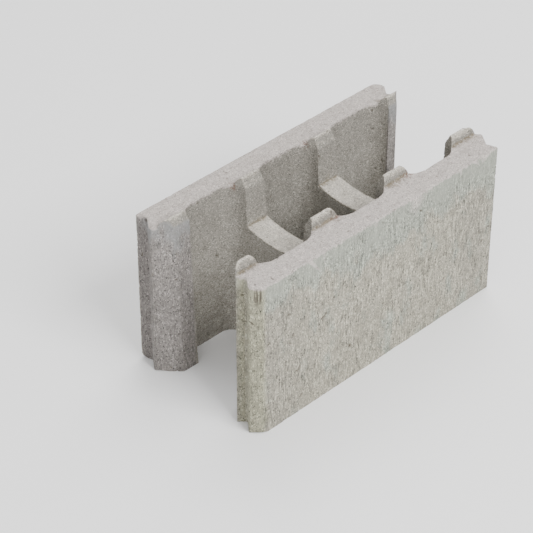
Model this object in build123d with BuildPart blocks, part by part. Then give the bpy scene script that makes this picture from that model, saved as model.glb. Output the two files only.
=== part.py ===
# Mortarless interlocking concrete block.
#
# One cast piece: two long face shells joined by two cross webs. The webs stop
# short of the top in a shallow saddle, so that reinforcing bars can lie across
# them. Each shell ends in a tongue at one end and in a nose with a groove at
# the other, and raised lugs on the ribs and end flanges locate the next course.
#
# Axes: X runs along the block, Y across it from shell to shell, Z is up.
# The origin is at the middle of the underside. Lengths are in millimetres.

import os

from build123d import *

os.makedirs("parts", exist_ok=True)

# Overall size
length = 395.0
width = 195.0
height = 200.0

# Shells, webs and end flanges, measured at the top of the shells
shell_thickness = 28.5
web_thickness = 30.0
web_centre = 58.0
tongue_flange_length = 40.5
groove_flange_length = 32.0
flange_projection = 22.0
flange_flare_start = 18.5
cell_corner_radius = 23.0
core_draft = 1.2

# Saddle over each web, between the ribs
saddle_edge_height = 151.0
saddle_dip = 6.5
rib_projection = 23.0
rib_draft = 4.0

# Tongue end of a shell
strip_width = 13.5
strip_setback = 7.0
strip_lean = 4.5
tongue_flank = 15.5

# Grooved end of a shell
nose_radius = 9.0
groove_play = 1.0
groove_floor = 3.0

# Locating lugs on the ribs and flanges
lug_height = 10.0
lug_clearance = 3.8
lug_outer_rise = 3.5
lug_side_lean = 1.0
lug_shoulder_radius = 8.0
lug_crown = 4.0
lug_bevel = 3.0
lug_root = 2.0
lug_end_lean = 8.0

# Worn arris along the top outer edges
arris_radius = 2.0


def tan_of(degrees):
    """Tangent of an angle in degrees."""
    ray = Vector(1, 0).rotate(Axis.Z, degrees)
    return ray.Y / ray.X


# Places that follow from the sizes above
half_length = length / 2
half_width = width / 2
shell_inner = half_width - shell_thickness
middle_cell_length = 2 * web_centre - web_thickness
end_cell_start = web_centre + web_thickness / 2
tongue_flange = half_length - tongue_flange_length
groove_flange = half_length - groove_flange_length
flange_tip = shell_inner - flange_projection
flare_start = half_length - flange_flare_start
rib_tip = shell_inner - rib_projection
strip_outer = half_length - strip_setback
strip_inner = strip_outer - strip_lean
tongue_corner = half_width - strip_width - tongue_flank
groove_depth = strip_setback + strip_lean - groove_play
groove_bottom = half_length - groove_depth
core_narrowing = height * tan_of(core_draft)
lug_outer = shell_inner - core_narrowing - lug_clearance
lug_crest = rib_tip + lug_bevel
above_block = 2 * lug_height


def cell_sketch(plane):
    """Middle cell and the two end half-cells, each with rounded corners."""
    with BuildSketch(plane) as cells:
        RectangleRounded(middle_cell_length, 2 * shell_inner, cell_corner_radius)
        with BuildSketch(mode=Mode.PRIVATE) as end_cell:
            with BuildLine():
                Polyline(
                    (tongue_flange, 0),
                    (tongue_flange, -shell_inner),
                    (end_cell_start, -shell_inner),
                    (end_cell_start, shell_inner),
                    (groove_flange, shell_inner),
                    (groove_flange, 0),
                    close=True,
                )
            make_face()
            corners = end_cell.vertices().group_by(Axis.Y)
            fillet(corners[0] + corners[-1], cell_corner_radius)
        add(end_cell.sketch)
        add(end_cell.sketch.rotate(Axis.Z, 180))
    return cells.sketch


def throat_sketch(plane):
    """Gap between the flange tips, from well inside each half-cell to past the ends."""
    with BuildSketch(plane) as throat:
        Rectangle(2 * length, 2 * flange_tip)
        Rectangle(2 * (tongue_flange - cell_corner_radius), 2 * shell_inner, mode=Mode.SUBTRACT)
    return throat.sketch


def flare_sketch(plane):
    """Flared end openings, whose sides stand square to the bed faces."""
    with BuildSketch(plane) as flares:
        with BuildLine():
            Polyline(
                (flare_start - flange_tip, 0),
                (flare_start + shell_inner, -flange_tip - shell_inner),
                (flare_start + shell_inner, flange_tip + shell_inner),
                close=True,
            )
        make_face()
        mirror(about=Plane.YZ)
    return flares.sketch


with BuildPart() as block:
    # Outline of the blank: one shell's outer side, with its tongue end on the
    # left and its grooved end on the right, and the same turned half a turn
    with BuildSketch() as outline:
        with BuildLine() as perimeter:
            Polyline(
                (-half_length, 0),
                (-half_length, tongue_corner),
                (-strip_inner, half_width - strip_width),
                (-strip_outer, half_width),
                (half_length - nose_radius, half_width),
            )
            TangentArc(
                (half_length - nose_radius, half_width),
                (half_length, half_width - nose_radius),
                tangent=(1, 0),
            )
            Polyline(
                (half_length, half_width - nose_radius),
                (half_length, half_width - strip_width),
                (groove_bottom, half_width - strip_width - tongue_flank + groove_floor),
                (groove_bottom, tongue_corner),
                (half_length, tongue_corner - groove_depth),
                (half_length, 0),
            )
            add(perimeter.line.rotate(Axis.Z, 180))
        make_face()
    extrude(amount=height)

    # Locating bars along the tops of both shells, cut into lugs by the cells
    with BuildSketch(Plane.YZ) as lug_section:
        with BuildLine():
            shoulder = (lug_outer - lug_side_lean, height + lug_outer_rise)
            crown_start = (lug_crest + lug_crown, height + lug_height)
            Polyline(
                crown_start,
                (lug_crest, height + lug_height),
                (rib_tip, height),
                (rib_tip, height - lug_root),
                (lug_outer, height - lug_root),
                (lug_outer, height),
                shoulder,
            )
            RadiusArc(shoulder, crown_start, -lug_shoulder_radius)
        make_face()
        mirror(about=Plane.YZ)
    extrude(amount=half_length, both=True)

    # Cells and the throats at their ends narrow towards the underside, as the
    # cores of the mould do, and widen a little between the lugs
    top = Plane.XY.offset(height)
    for hollow in (cell_sketch(top), throat_sketch(top)):
        extrude(hollow, amount=above_block, taper=-lug_end_lean, mode=Mode.SUBTRACT)
        extrude(hollow, amount=height, dir=(0, 0, -1), taper=core_draft, mode=Mode.SUBTRACT)
    extrude(flare_sketch(Plane.XY), amount=height + above_block, mode=Mode.SUBTRACT)

    # Saddle over the webs, which leaves a drafted rib on each shell
    with BuildSketch(Plane.YZ) as saddle:
        with BuildLine():
            rib_slope = (height - saddle_edge_height) * tan_of(rib_draft)
            saddle_edge = rib_tip - rib_slope
            Polyline(
                (-saddle_edge, saddle_edge_height),
                (-rib_tip, height),
                (-rib_tip, height + above_block),
                (rib_tip, height + above_block),
                (rib_tip, height),
                (saddle_edge, saddle_edge_height),
            )
            ThreePointArc(
                (saddle_edge, saddle_edge_height),
                (0, saddle_edge_height - saddle_dip),
                (-saddle_edge, saddle_edge_height),
            )
        make_face()
    extrude(amount=flare_start - flange_tip, both=True, mode=Mode.SUBTRACT)

    # Soften the outer arrises, which the moulds leave worn
    shell_tops = block.edges().filter_by_position(Axis.Z, height, height).filter_by(Axis.X)
    fillet(shell_tops.group_by(Axis.Y)[0] + shell_tops.group_by(Axis.Y)[-1], arris_radius)

block.part.label = "block"
export_step(block.part, "parts/block.step")
print("solids", len(block.part.solids()), "volume", round(block.part.volume / 1e6, 3), "litres")
print("box", block.part.bounding_box())
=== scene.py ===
# %% [markdown]
# A dry-cast concrete block, worn as it comes off the pallet.
#
# The block is one casting: two long face shells, two webs, and lugs that locate
# the next course. The frame gives its true form and size, with every face flat and
# every arris sharp. A real block has neither, because damp concrete is shaken and
# pressed into a steel mould and pushed out while it is still soft. So this lesson
# wears the casting first, in geometry, and then gives it a concrete finish.

# %% Load the frame
import math

import bmesh
import bpy
import numpy as np
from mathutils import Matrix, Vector, kdtree, noise


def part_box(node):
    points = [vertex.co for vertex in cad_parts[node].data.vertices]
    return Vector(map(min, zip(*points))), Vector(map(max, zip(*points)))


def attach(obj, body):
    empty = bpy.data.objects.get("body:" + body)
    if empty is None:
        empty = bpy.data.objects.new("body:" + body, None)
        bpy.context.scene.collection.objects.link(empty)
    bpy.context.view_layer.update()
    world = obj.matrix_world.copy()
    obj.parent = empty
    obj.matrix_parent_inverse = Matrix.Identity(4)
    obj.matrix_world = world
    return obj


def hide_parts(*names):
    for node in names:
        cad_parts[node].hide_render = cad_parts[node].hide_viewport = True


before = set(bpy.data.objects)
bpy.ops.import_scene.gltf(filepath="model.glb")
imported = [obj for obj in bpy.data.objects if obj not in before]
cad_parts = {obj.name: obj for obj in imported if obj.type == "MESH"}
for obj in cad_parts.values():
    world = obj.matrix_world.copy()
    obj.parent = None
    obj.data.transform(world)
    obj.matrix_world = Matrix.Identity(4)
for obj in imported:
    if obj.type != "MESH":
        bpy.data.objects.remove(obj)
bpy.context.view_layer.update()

MM = 0.001
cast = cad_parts["block"]
low, high = (np.array(corner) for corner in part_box("block"))
bed_height = 200 * MM
print("casting", np.round((high - low) / MM, 1), "mm, bed of the shells at", bed_height / MM, "mm")

# %% [markdown]
# The frame's mesh has long thin triangles, which can't be dented. A remesh turns the
# casting into an even skin of small quads. The sharp kind of remesh keeps every
# arris where it is. The voxel kind would round them all alike, and a real block is
# crisp in some places and crumbled in others.

# %% Skin the casting evenly
skin_spacing = 1.3 * MM
octree_depth = 9
doubles_within = 0.01 * MM


def keep_result(piece, kind, **settings):
    """Puts one modifier on the piece and keeps the mesh that it makes."""
    modifier = piece.modifiers.new(kind.title(), kind)
    for name, value in settings.items():
        setattr(modifier, name, value)
    graph = bpy.context.evaluated_depsgraph_get()
    made = bpy.data.meshes.new_from_object(piece.evaluated_get(graph))
    piece.modifiers.clear()
    piece.data = made


worn_block = bpy.data.objects.new("worn_block", cast.data.copy())
bpy.context.scene.collection.objects.link(worn_block)
welded = bmesh.new()
welded.from_mesh(worn_block.data)
bmesh.ops.remove_doubles(welded, verts=welded.verts, dist=doubles_within)
welded.to_mesh(worn_block.data)
welded.free()
cells_across = 2**octree_depth
fill = (high[0] - low[0]) / (cells_across * skin_spacing)
keep_result(worn_block, "REMESH", mode="SHARP", octree_depth=octree_depth, scale=fill)
skin = worn_block.data
count = len(skin.vertices)
points = np.empty(count * 3)
skin.vertices.foreach_get("co", points)
points = points.reshape(-1, 3)
print("skin has", count, "points, one every", skin_spacing / MM, "mm")

# %% [markdown]
# Two forms wear off quickly and are blunter in the photograph than on the mould's
# drawing. The lugs lean back on their inner side, from just under the bed up to the
# crest. The round noses at the ends are rubbed flat to a chamfer. Both are small
# shifts of the skin's points, worked out for one quarter and mirrored.

# %% Lean the lugs back and rub the noses flat
side = np.sign(points[:, 1])
out = np.abs(points[:, 1])
along_side = side * points[:, 0]

rib_tip, fade_width = 46 * MM, 12 * MM
lean_start, lean = 198 * MM, 0.4
fade = np.clip(1 - (out - rib_tip) / fade_width, 0, 1)
points[:, 1] += side * lean * np.maximum(points[:, 2] - lean_start, 0) * fade

nose_start, nose_reach = 180 * MM, 210.3 * MM
nose_along, nose_out = 0.80, 0.60
too_far = np.maximum(nose_along * along_side + nose_out * out - nose_reach, 0)
too_far *= along_side > nose_start
points[:, 0] -= side * nose_along * too_far
points[:, 1] -= side * nose_out * too_far
skin.vertices.foreach_set("co", points.ravel())
skin.update()
print("noses rubbed by up to", round(too_far.max() / MM, 1), "mm")

# %% [markdown]
# An arris is found by comparing the skin with a smoothed copy of itself. On a flat
# face the two agree. At an outer arris the smoothed copy lies inside the concrete,
# and in an inner corner it lies outside. The smoothed copy is each point's average
# with its neighbours, taken a few times.

# %% Find the arrises
normals = np.empty(count * 3)
skin.vertices.foreach_get("normal", normals)
normals = normals.reshape(-1, 3)
pairs = np.empty(len(skin.edges) * 2, np.int32)
skin.edges.foreach_get("vertices", pairs)
pairs = pairs.reshape(-1, 2)
own, other = np.concatenate([pairs, pairs[:, ::-1]]).T
degree = np.bincount(own, minlength=count)


def smoothed(values, rounds):
    """Each point's value averaged with its neighbours', so many times."""
    for _ in range(rounds):
        columns = [np.bincount(own, weights=column[other], minlength=count) for column in values.T]
        values = (values + np.array(columns).T / degree[:, None]) / 2
    return values


def ease(values, start, end):
    """0 before start, 1 after end, and a smooth turn between."""
    share = np.clip((values - start) / (end - start), 0, 1)
    return share * share * (3 - 2 * share)


def ease_off(values, start, end):
    """1 before start, 0 after end, and a smooth turn between."""
    return ease(-values, -end, -start)


soft = smoothed(points, 3)
facing = smoothed(normals, 2)
facing /= np.linalg.norm(facing, axis=1)[:, None]
bulge = ((points - soft) * facing).sum(1)
arris = ease(smoothed(bulge[:, None], 3)[:, 0], 0.03 * MM, 0.15 * MM)
edge = np.flatnonzero(arris > 0)
print("sharpest arris stands", round(bulge.max() / MM, 2), "mm proud; near an arris:", len(edge), "points")

# %% [markdown]
# Wear is uneven: arrises crumble where they were bumped on the pallet and stay
# crisp between. Soft three-dimensional noise decides where. The helper gives noise
# with lumps of a stated size, so every pattern can be set from a real one.

# %% Wear the arrises
def lumps(at, size, octaves, start):
    """Noise from about -1 to 1 at each point, with lumps of this size in metres."""
    offset = Vector((start, 2 * start, 3 * start))
    return np.array([noise.fractal(Vector(p) / size + offset, 1.0, 2.0, octaves) for p in at])


worn = points.copy()
rubbed_everywhere, rubbed_in_places = 0.15, 0.65
rubbed_places = ease(lumps(points[edge], 14 * MM, 3, 1.7), 0.0, 0.7)
rubbed = rubbed_everywhere + rubbed_in_places * rubbed_places
sharp = ease(bulge[edge], 0.02 * MM, 0.2 * MM)
worn[edge] += (soft - points)[edge] * (sharp * rubbed)[:, None]
print("arrises rubbed by up to", round(np.abs(worn - points).max() / MM, 2), "mm")

# %% [markdown]
# Some corners are worn much more: the foot of the grooved nose and the foot of the
# tongue took the knocks when the block was set down. They are eased towards a copy
# smoothed many times over. Each knock has a reach, and it is full in the inner fifth.

# %% Round the knocked corners
nose_foot = (-0.193, -0.094, 0.0)
tongue_foot = (-0.196, 0.060, 0.0)
strip_foot = (-0.190, 0.096, 0.0)
knocked = ((nose_foot, 14 * MM, 0.9), (tongue_foot, 12 * MM, 0.4), (strip_foot, 8 * MM, 0.4))
inner_part = 0.2
blunt = smoothed(points, 70)
for foot, reach, strength in knocked:
    near = ease_off(np.linalg.norm(points - foot, axis=1), inner_part * reach, reach)
    worn += (blunt - worn) * (near * strength)[:, None]
print("corners knocked", len(knocked))

# %% [markdown]
# Along every arris grains of sand have come away, which leaves it ragged by about a
# quarter of a millimetre, and here and there a bite a millimetre deep has broken
# out between two stones. The tops of the webs are bitten most. Both are cut in along
# the surface's own direction, and what they laid open is remembered for the finish.

# %% Crumble and chip the arrises
crumb_depth, bite_depth = 0.3 * MM, 1.0 * MM
web_more = 0.3
edge_height = points[edge, 2]
on_web = ease(edge_height, 140 * MM, 150 * MM) * ease_off(edge_height, 160 * MM, 168 * MM)
crumbs = ease(lumps(points[edge], 2.2 * MM, 2, 4.2), 0.0, 0.6) * arris[edge]
bites = ease(lumps(points[edge], 5 * MM, 3, 8.8) + web_more * on_web, 0.55, 0.75)
bites *= ease(bulge[edge], 0.05 * MM, 0.25 * MM)
worn[edge] -= facing[edge] * (crumbs * crumb_depth + bites * bite_depth)[:, None]
opened = np.zeros(count)
opened[edge] = np.maximum(0.25 * crumbs, bites)
print("chipped points", int((bites > 0.3).sum()))

# %% [markdown]
# The damp mix also tears as the mould leaves it, and air leaves holes. Both are
# gouges: short, narrow and often crooked. The larger ones on the near shell, its bed
# and its nose stand where the photograph shows them, given by place on the block,
# direction, half length and half width in millimetres. The others are scattered by a
# seeded generator, so that the block is the same each time.

# %% Gouge the tears and holes
ALONG, ACROSS, UP = np.eye(3)
gouges = [
    ((-0.180, -0.0975, 0.121), UP + 0.6 * ALONG, 3.6, 1.5),
    ((-0.142, -0.0975, 0.113), UP, 1.9, 1.9),
    ((-0.132, -0.0975, 0.063), UP + 1.2 * ALONG, 3.6, 1.8),
    ((-0.136, -0.0975, 0.060), ALONG - 0.3 * UP, 3.4, 1.4),
    ((-0.095, -0.0975, 0.112), ALONG + 0.2 * UP, 4.6, 1.4),
    ((-0.091, -0.0975, 0.115), UP - 0.6 * ALONG, 2.6, 1.3),
    ((-0.079, -0.0975, 0.130), UP, 2.1, 1.8),
    ((-0.051, -0.0975, 0.047), ALONG, 2.2, 2.0),
    ((-0.080, -0.0975, 0.016), ALONG, 1.6, 1.5),
    ((0.058, -0.0975, 0.128), UP, 1.3, 1.2),
    ((0.174, -0.0975, 0.077), UP + 0.9 * ALONG, 2.6, 1.1),
    ((0.097, -0.087, 0.200), ALONG, 1.4, 1.3),
    ((0.155, -0.085, 0.200), ALONG + ACROSS, 1.5, 1.4),
    ((-0.189, -0.086, 0.200), ALONG, 1.3, 1.2),
]
nose_ridge = np.array((-0.1975, -0.0872, 0.189))
across_nose = np.array((0.0077, -0.0103, 0.0))
for part, half_width in ((0.35, 0.8), (0.54, 1.1), (0.83, 1.1)):
    gouges.append((nose_ridge + part * across_nose, UP, 12.0, half_width))

draw = np.random.default_rng(7)
scattered = 240
middles = draw.choice(count, scattered, replace=False)
half_lengths = draw.gamma(4, 0.6, scattered)
half_widths = draw.uniform(0.8, 1.3, scattered)
for index, half_length, half_width in zip(middles, half_lengths, half_widths):
    direction = np.cross(facing[index], draw.normal(size=3))
    gouges.append((points[index], direction, max(half_length, half_width), half_width))

bend_size, bend, fullness, depth = 4 * MM, 0.5, 1.25, 1.1
for middle, direction, half_length, half_width in gouges:
    reach, girth = half_length * MM, half_width * MM
    close = np.flatnonzero(np.abs(points - middle).max(1) < 1.5 * reach)
    bends = np.array([noise.noise_vector(Vector(p) / bend_size) for p in points[close]])
    offset = points[close] - middle + bends.reshape(-1, 3) * bend * girth
    along = offset @ (direction / np.linalg.norm(direction))
    aside = np.sqrt(np.maximum((offset**2).sum(1) - along**2, 0))
    dug = np.clip(fullness - (along / reach) ** 2 - (aside / girth) ** 2, 0, 1)
    worn[close] -= facing[close] * (dug * depth * girth)[:, None]
    opened[close] = np.maximum(opened[close], dug)
print("gouges", len(gouges), "touching", int((opened > 0.3).sum()), "points")

# %% [markdown]
# The faces aren't quite flat either: the mould walls leave a slow swell of two tenths
# of a millimetre. Finer roughness is left to the bump of the finish. Nothing may
# stand outside the casting's own box, so the skin is held to it.

# %% Swell the faces
swell_size, swell_height = 45 * MM, 0.2 * MM
worn += facing * (lumps(points, swell_size, 1, 3.3) * swell_height)[:, None]
worn = np.clip(worn, low, high)
print("points moved by up to", round(np.linalg.norm(worn - points, axis=1).max() / MM, 1), "mm")

# %% [markdown]
# Masks go with the mesh, because the block's finish differs from face to face. The
# bed is the pale pressed top of the shells, and it runs raggedly over the arris. The
# ledges are the tops of lugs and webs.

# %% Mark the pale tops
beds_above, ledges_above = 140 * MM, 120 * MM
ragged = np.zeros(count)
high_up = np.flatnonzero(points[:, 2] > beds_above)
ragged[high_up] = lumps(points[high_up], 4.5 * MM, 3, 6.6)
x, y, z = points.T
upward = ease(facing[:, 2] + 0.2 * ragged, 0.45, 0.75)
over_lip = ease(z + 2.0 * ragged * MM, bed_height - 2.6 * MM, bed_height - 1.4 * MM)
under_lugs = ease_off(z, bed_height + 0.3 * MM, bed_height + 1.2 * MM)
bed = np.maximum(upward, over_lip) * ease(np.abs(y), 60 * MM, 62.5 * MM) * under_lugs
bed *= z > beds_above
ledge = upward * (1 - bed) * (z > ledges_above)
print("points above", round(beds_above / MM), "mm:", len(high_up))

# %% [markdown]
# The walls are the faces against the outer mould, and the ends face outwards along
# the block, with the tips of the end flanges. The strips are the set-back steps
# beside the tongue, and the nose is the rounded corner by the groove. The shell_end
# mask grows towards the ends of the shells, which are darker. Flat tells the level
# parts of the ledges from their slopes. The seams are inner corners near the top,
# where dirt and slurry gather. The rust is a few brown spots at the inner edges of
# the beds.

# %% Mark the other surfaces
rust = np.zeros(count)
for rust_x in (-0.075, 0.042):
    for half in (1, -1):
        spot = (half * rust_x, half * 0.062, 0.199)
        from_spot = np.linalg.norm(points - spot, axis=1)
        rust = np.maximum(rust, ease_off(from_spot, 3 * MM, 8 * MM))
at_end = ease(np.abs(x), 154 * MM, 158 * MM)
outwards = ease(np.sign(x) * facing[:, 0], 0.45, 0.65)
on_tip = ease_off(np.abs(y), 47.5 * MM, 49 * MM)
across_wall = ease(np.abs(facing[:, 1]), 0.3, 0.6)
inner_corner = ease(smoothed(-bulge[:, None], 1)[:, 0], 0.02 * MM, 0.08 * MM)
masks = {
    "bed": bed,
    "ledge": ledge,
    "wall": ease(np.abs(y), high[1] - 2.5 * MM, high[1] - 1 * MM) * across_wall,
    "end": at_end * np.maximum(outwards, on_tip),
    # the strips beside the tongue, where painted shade is laid
    "strip": ease(-np.sign(y) * x, 180 * MM, 184 * MM) * ease(np.abs(y), 83 * MM, 85 * MM),
    "flat": ease(facing[:, 2], 0.8, 0.93),
    "shell_end": ease(np.abs(x), 100 * MM, 165 * MM),
    "rust": rust,
    "nose": ease(np.sign(y) * x, 183 * MM, 189 * MM) * ease(np.abs(y), 58 * MM, 66 * MM),
    "opened": np.clip(opened, 0, 1),
    "seam": inner_corner * ease(z, 140 * MM, 150 * MM) * ease(facing[:, 2], 0.15, 0.4),
}
for name, cover in masks.items():
    print(name, "covers", round(100 * cover.mean(), 1), "% of the skin")

# %% [markdown]
# The mesh is then thinned. That takes most points from the flat faces and keeps the
# arrises and gouges, and each point left takes its masks from the nearest one before.

# %% Thin the skin and carry the masks over
most_triangles = 190000
sharpest_smooth = math.radians(38)
skin.vertices.foreach_set("co", worn.ravel())
skin.update()
keep_result(worn_block, "DECIMATE", ratio=most_triangles / (2 * len(skin.polygons)))
skin = worn_block.data
before = kdtree.KDTree(count)
for index, point in enumerate(worn):
    before.insert(point, index)
before.balance()
source = np.array([before.find(vertex.co)[1] for vertex in skin.vertices])
for name, cover in masks.items():
    attribute = skin.attributes.new(name, "FLOAT", "POINT")
    attribute.data.foreach_set("value", cover[source].astype(np.float32))
skin.polygons.foreach_set("use_smooth", [True] * len(skin.polygons))
skin.set_sharp_from_angle(angle=sharpest_smooth)
print("kept", sum(len(face.vertices) - 2 for face in skin.polygons), "triangles")

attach(worn_block, "root")
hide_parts("block")

# %% [markdown]
# Colours are written as sRGB hex values, as a colour picker shows them. Blender
# works in linear light, so one function turns them.

# %% Colours from hex
def linear(code):
    """Linear RGBA from an sRGB hex code such as #a1b2c3."""
    shares = [int(code[i : i + 2], 16) / 255 for i in (1, 3, 5)]
    return [s / 12.92 if s <= 0.04045 else ((s + 0.055) / 1.055) ** 2.4 for s in shares] + [1]


print("mid grey #808080 is", round(linear("#808080")[0], 3), "in linear light")

# %% [markdown]
# The finish is grey Portland cement concrete, vibrated and pressed. Against the
# mould it has a thin film of cement, blue-grey where it is thick and warm grey where
# the sand shows, dragged into upright streaks as the block was pushed out. On top it
# is paler and a little pink. It has no gloss: roughness is high and the IOR is that
# of cement paste, about 1.5.

# %% Start the concrete
concrete = bpy.data.materials.new("vibrated_pressed_concrete")
concrete.use_nodes = True
concrete.node_tree.nodes.clear()


def add(kind, inputs=None, **settings):
    """Adds one node to the concrete: settings are its properties, inputs its sockets."""
    made = concrete.node_tree.nodes.new("ShaderNode" + kind)
    for name, value in settings.items():
        setattr(made, name, value)
    for socket, value in (inputs or {}).items():
        if isinstance(value, bpy.types.NodeSocket):
            concrete.node_tree.links.new(value, made.inputs[socket])
        else:
            made.inputs[socket].default_value = value
    return made


on_block = add("TexCoord").outputs["Object"]
per_mm = add("Mapping", {"Vector": on_block, "Scale": (1000, 1000, 1000)}).outputs[0]
drawn_out = add("Mapping", {"Vector": on_block, "Scale": (1000, 1000, 550)}).outputs[0]
dragged = add("Mapping", {"Vector": on_block, "Scale": (1000, 1000, 150)}).outputs[0]
height = add("SeparateXYZ", {0: per_mm}).outputs["Z"]
mask = {name: add("Attribute", attribute_name=name).outputs["Fac"] for name in masks}
print("the concrete reads", len(mask), "masks")

# %% [markdown]
# Patterns are measured in millimetres: a noise with lumps N mm wide has scale 1/N.
# Two vectors are squeezed in height, so that the same noise comes out about two or
# seven times as tall as it is wide, as the mould's drag leaves it.

# %% Helpers for patches of colour
FACTOR, COLOUR_A, COLOUR_B, MIXED = 0, 6, 7, 2


def remap(value, start, end, low_end=0.0, high_end=1.0):
    """Turns a value smoothly from one level at start to another at end."""
    sockets = {"Value": value, "From Min": start, "From Max": end, "To Min": low_end, "To Max": high_end}
    return add("MapRange", sockets, interpolation_type="SMOOTHSTEP").outputs[0]


def waves(vector, size, detail, twist=0.0):
    """Noise from 0 to 1 with lumps of so many millimetres."""
    sockets = {"Vector": vector, "Scale": 1 / size, "Detail": detail, "Roughness": 0.6, "Distortion": twist}
    return add("TexNoise", sockets).outputs[0]


def patches(vector, size, detail, start, end, strength=1.0):
    """A mask from noise with lumps of so many millimetres, cut between two levels."""
    return remap(waves(vector, size, detail), start, end, 0.0, strength)


def sums(first, second, operation="MULTIPLY"):
    """One sum of two values."""
    return add("Math", {0: first, 1: second}, operation=operation).outputs[0]


def over(below, above, share, blend="MIX"):
    """One colour laid over another where the mask is 1."""
    inputs = {FACTOR: share, COLOUR_A: below, COLOUR_B: above}
    return add("Mix", inputs, data_type="RGBA", blend_type=blend).outputs[MIXED]


def two_tones(first, second, vector, size, detail, end):
    """Two tones of one surface, in patches of so many millimetres."""
    return over(linear(first), linear(second), patches(vector, size, detail, 0.4, end))


# %% [markdown]
# Each kind of surface has its own two tones. The core is the paste inside the cells
# and on the webs, a little darker towards the top, which is painted shade that evens
# out the stronger light near the top of the cells. The ends are darker than the
# walls, and the strips by the tongue are darker still with painted shade, as their
# faces lean away from the light. The walls are sandy below and greyer where the film
# lies. That film is thickest just under the top arris, where the mould pressed last,
# and thins out downwards in upright patches.

# %% Lay the cement's colours
film_level = sums(waves(drawn_out, 26, 4), remap(height, 130, 216, 0.0, 0.45), "ADD")
film = remap(film_level, 0.52, 0.68)
thick_film = remap(film_level, 0.70, 0.86)

core = two_tones("#99958c", "#8f8b82", per_mm, 22, 4, 0.65)
# Painted shade: the core is darker towards the top, to even out the stronger light near the top of the
# cells.
core = over(core, linear("#86827a"), remap(height, 70, 205, 0.0, 0.75))
end_faces = two_tones("#847f7b", "#7c7773", drawn_out, 12, 4, 0.65)
end_faces = over(end_faces, linear("#868888"), sums(thick_film, 0.6))
# Painted shade: the strips beside the tongue are darkened, as their faces lean away from the light.
end_faces = over(end_faces, linear("#6d6865"), sums(mask["strip"], 0.7))
walls = two_tones("#999587", "#908c7e", drawn_out, 13, 4, 0.62)
walls = over(walls, linear("#89857a"), sums(mask["shell_end"], 0.6))
walls = over(walls, linear("#8f9287"), film)
# The ledges' pale tone is partly painted light, which lifts the web tops out of the shade the near shell
# casts on them.
ledges = two_tones("#c1bbb0", "#b3ada2", per_mm, 9, 4, 0.65)
ledges = over(linear("#aaa498"), ledges, mask["flat"])
beds = two_tones("#b6aea8", "#aaa29c", per_mm, 6, 5, 0.68)

body = over(core, end_faces, mask["end"])
body = over(body, walls, mask["wall"])
body = over(body, linear("#93917c"), sums(mask["nose"], 0.9))
body = over(body, ledges, mask["ledge"])
body = over(body, beds, mask["bed"])
print("tones laid with", len(concrete.node_tree.nodes), "nodes")

# %% [markdown]
# The sand is faint where the film is thick, and somewhat fainter than elsewhere on
# the beds and the web tops. One value says how smooth each place is, and the next
# cells ask it.

# %% Tell the smooth places
drawn_face = sums(mask["wall"], mask["end"], "MAXIMUM")
web_tops = sums(mask["ledge"], remap(height, 162, 156))
smooth_tops = sums(sums(mask["bed"], web_tops, "ADD"), 0.5)
smooth_face = sums(sums(thick_film, sums(drawn_face, 0.9)), smooth_tops, "MAXIMUM")
print("with the smooth places,", len(concrete.node_tree.nodes), "nodes")

# %% [markdown]
# Sand is the scale the eye reads as concrete: grains of 0.3 to 1.5 mm, most of them
# close to the paste in tone and a few much lighter or darker. They are drawn at
# 1 mm, a little under one pixel of the picture. Cubing each grain's random tone is
# what makes most of them plain, and the pale ones are raised a little further. The
# grains are a little stronger on the ends. On the walls and ends the drag makes them
# twice as tall, and adds fine upright lines in groups, some pale and some dark.

# %% Sprinkle the sand
grain_size = 1.0
round_grains = add("TexVoronoi", {"Vector": per_mm, "Scale": 1 / grain_size}).outputs["Color"]
tall_grains = add("TexVoronoi", {"Vector": drawn_out, "Scale": 1 / grain_size}).outputs["Color"]
tint = add("SeparateColor", {0: over(round_grains, tall_grains, drawn_face)}).outputs[0]
centred = sums(sums(tint, 0.5, "SUBTRACT"), 2.0)
cubed = sums(centred, sums(centred, centred))
coarse = sums(cubed, remap(mask["end"], 0, 1, 0.6, 0.7))
pale_grains = sums(sums(cubed, 0, "MAXIMUM"), 0.25)

line_share = remap(mask["wall"], 0, 1, sums(drawn_face, 0.45), 1.0)
groups = sums(patches(drawn_out, 18, 3, 0.3, 0.55), line_share)
lines = sums(sums(waves(dragged, 1.7, 2), 0.5, "SUBTRACT"), groups)

grain = sums(sums(sums(coarse, pale_grains, "ADD"), sums(lines, 2.4), "ADD"), 0.98, "ADD")
shade = add("CombineColor", {0: grain, 1: grain, 2: grain}).outputs[0]
body = over(body, shade, remap(smooth_face, 0, 1, 1.0, 0.4), "MULTIPLY")
print("with the sand and the drag lines,", len(concrete.node_tree.nodes), "nodes")

# %% [markdown]
# Here and there the paste is open: small dark pores, and thin crooked lines where
# the damp mix tore. They thin out where the film is thick. The beds and ledges have
# small round pits, the peaks of a noise with lumps of two millimetres. Dirt and
# slurry darken the seams round the lugs and at the foot of the ribs, and rust has
# bled out in a few small spots.

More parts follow.
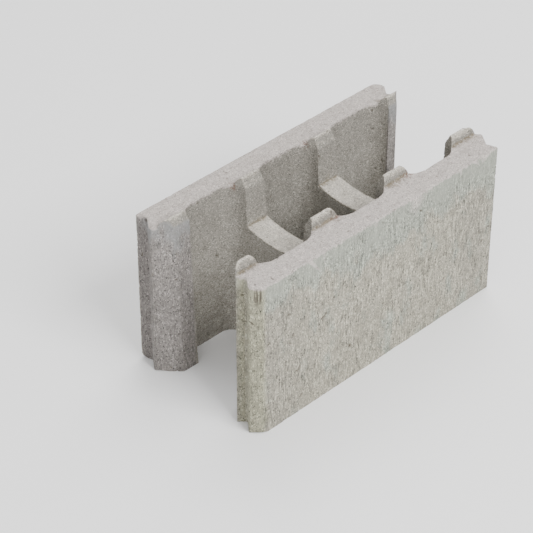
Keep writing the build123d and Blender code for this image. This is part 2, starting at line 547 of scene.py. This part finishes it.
# %% Open the pores and tears
bare = remap(smooth_face, 0, 1, 1.0, 0.25)
tops = sums(mask["bed"], mask["ledge"], "MAXIMUM")
pores = sums(patches(drawn_out, 1.5, 1, 0.68, 0.76, 0.26), bare)
pits = sums(patches(per_mm, 2.2, 1, 0.665, 0.715, 0.7), tops)
wander = sums(sums(waves(per_mm, 3.2, 2, 1.4), 0.5, "SUBTRACT"), 0, "ABSOLUTE")
thin_lines = remap(wander, 0.03, 0.008)
tears = sums(sums(thin_lines, patches(per_mm, 14, 3, 0.5, 0.66, 0.5)), bare)
stains = (
    ("#57524a", sums(pores, pits, "MAXIMUM")),
    ("#5a544b", tears),
    ("#5d564c", mask["opened"]),
    ("#74674f", sums(mask["seam"], patches(per_mm, 3, 3, 0.3, 0.55, 0.75))),
    ("#6f5044", sums(mask["rust"], patches(per_mm, 3, 3, 0.45, 0.55, 0.8))),
)
for code, stained in stains:
    body = over(body, linear(code), stained)
print("laid", len(stains), "dark tones over the paste")

# %% [markdown]
# The bump is about four tenths of a millimetre: sand standing out of the paste, with
# the drag lines in it and the pores, pits and tears cut out of it.

# %% Give it its grain and its shader
bump_height = 0.42 * MM
relief = sums(waves(per_mm, 1.8, 3), tint, "ADD")
relief = sums(relief, remap(smooth_face, 0, 1, 1.0, 0.4))
for hollow in (pores, pits, tears):
    relief = sums(relief, hollow, "SUBTRACT")
relief = sums(relief, sums(lines, 1.5), "ADD")
bump = add("Bump", {"Height": relief, "Strength": 1.0, "Distance": bump_height}).outputs[0]
shader = add("BsdfPrincipled", {"Base Color": body, "Normal": bump, "Roughness": 0.92, "IOR": 1.5})
add("OutputMaterial", {"Surface": shader.outputs[0]})
skin.materials.clear()
skin.materials.append(concrete)
print(concrete.name, "has", len(concrete.node_tree.nodes), "nodes")

# %% [markdown]
# The block stands on a plain pale floor. The floor is one large sheet, and it isn't
# part of the object.

# %% Floor
floor_half = 4.0
sheet = bpy.data.meshes.new("floor")
corner_signs = ((-1, -1), (1, -1), (1, 1), (-1, 1))
corners = [(east * floor_half, north * floor_half, 0) for east, north in corner_signs]
sheet.from_pydata(corners, [], [(0, 1, 2, 3)])
floor = bpy.data.objects.new("floor", sheet)
bpy.context.scene.collection.objects.link(floor)
pale = bpy.data.materials.new("matt_white_floor")
pale.use_nodes = True
pale.node_tree.nodes["Principled BSDF"].inputs["Base Color"].default_value = linear("#fafafa")
pale.node_tree.nodes["Principled BSDF"].inputs["Roughness"].default_value = 1.0
sheet.materials.append(pale)
print("floor is", 2 * floor_half, "m across")

# %% [markdown]
# The light is a white room, a soft key from the side of the near shell and above,
# and a wide soft light from behind that lifts the beds and leaves the hollow dark. A
# third one, weak and low on the left, reaches into the open half cell.

# %% Light
world = bpy.data.worlds.new("white_room")
bpy.context.scene.world = world
world.use_nodes = True
world.node_tree.nodes["Background"].inputs["Color"].default_value = linear("#ffffff")
world.node_tree.nodes["Background"].inputs["Strength"].default_value = 0.72
light_distance = 4.0


def soft_light(name, towards, size, power):
    """A square area light in this direction from the block, aimed at its middle."""
    lamp = bpy.data.lights.new(name, "AREA")
    lamp.size, lamp.energy = size, power
    light = bpy.data.objects.new(name, lamp)
    bpy.context.scene.collection.objects.link(light)
    middle = Vector((0, 0, 0.1))
    light.location = middle + Vector(towards).normalized() * light_distance
    light.rotation_euler = (middle - light.location).to_track_quat("-Z", "Y").to_euler()
    print(name, "light of", power, "W")


soft_light("key", (-0.03, -0.70, 0.71), 2.0, 190)
soft_light("behind", (0.50, 0.35, 0.79), 2.7, 108)
soft_light("side", (-0.80, -0.50, 0.35), 2.0, 40)

# %% [markdown]
# The camera looks down at the corner where the near shell's nose stands, from about
# the height and side of the photograph. Its lens is worked out from the focal length
# in pixels that fits the photograph.

# %% Camera
frame_pixels = 533
focal_pixels = 2121
turn, tilt = math.radians(45.09), math.radians(36.56)
eye = bpy.data.cameras.new("eye")
eye.sensor_width = 36
eye.lens = focal_pixels / frame_pixels * eye.sensor_width
eye.clip_end = 50
camera = bpy.data.objects.new("camera", eye)
bpy.context.scene.collection.objects.link(camera)
camera.location = (-1.431, -1.341, 1.533)
ahead = Vector((math.sin(turn) * math.cos(tilt), math.cos(turn) * math.cos(tilt), -math.sin(tilt)))
camera.rotation_euler = ahead.to_track_quat("-Z", "Y").to_euler()
bpy.context.scene.camera = camera
print("lens", round(eye.lens, 1), "mm")
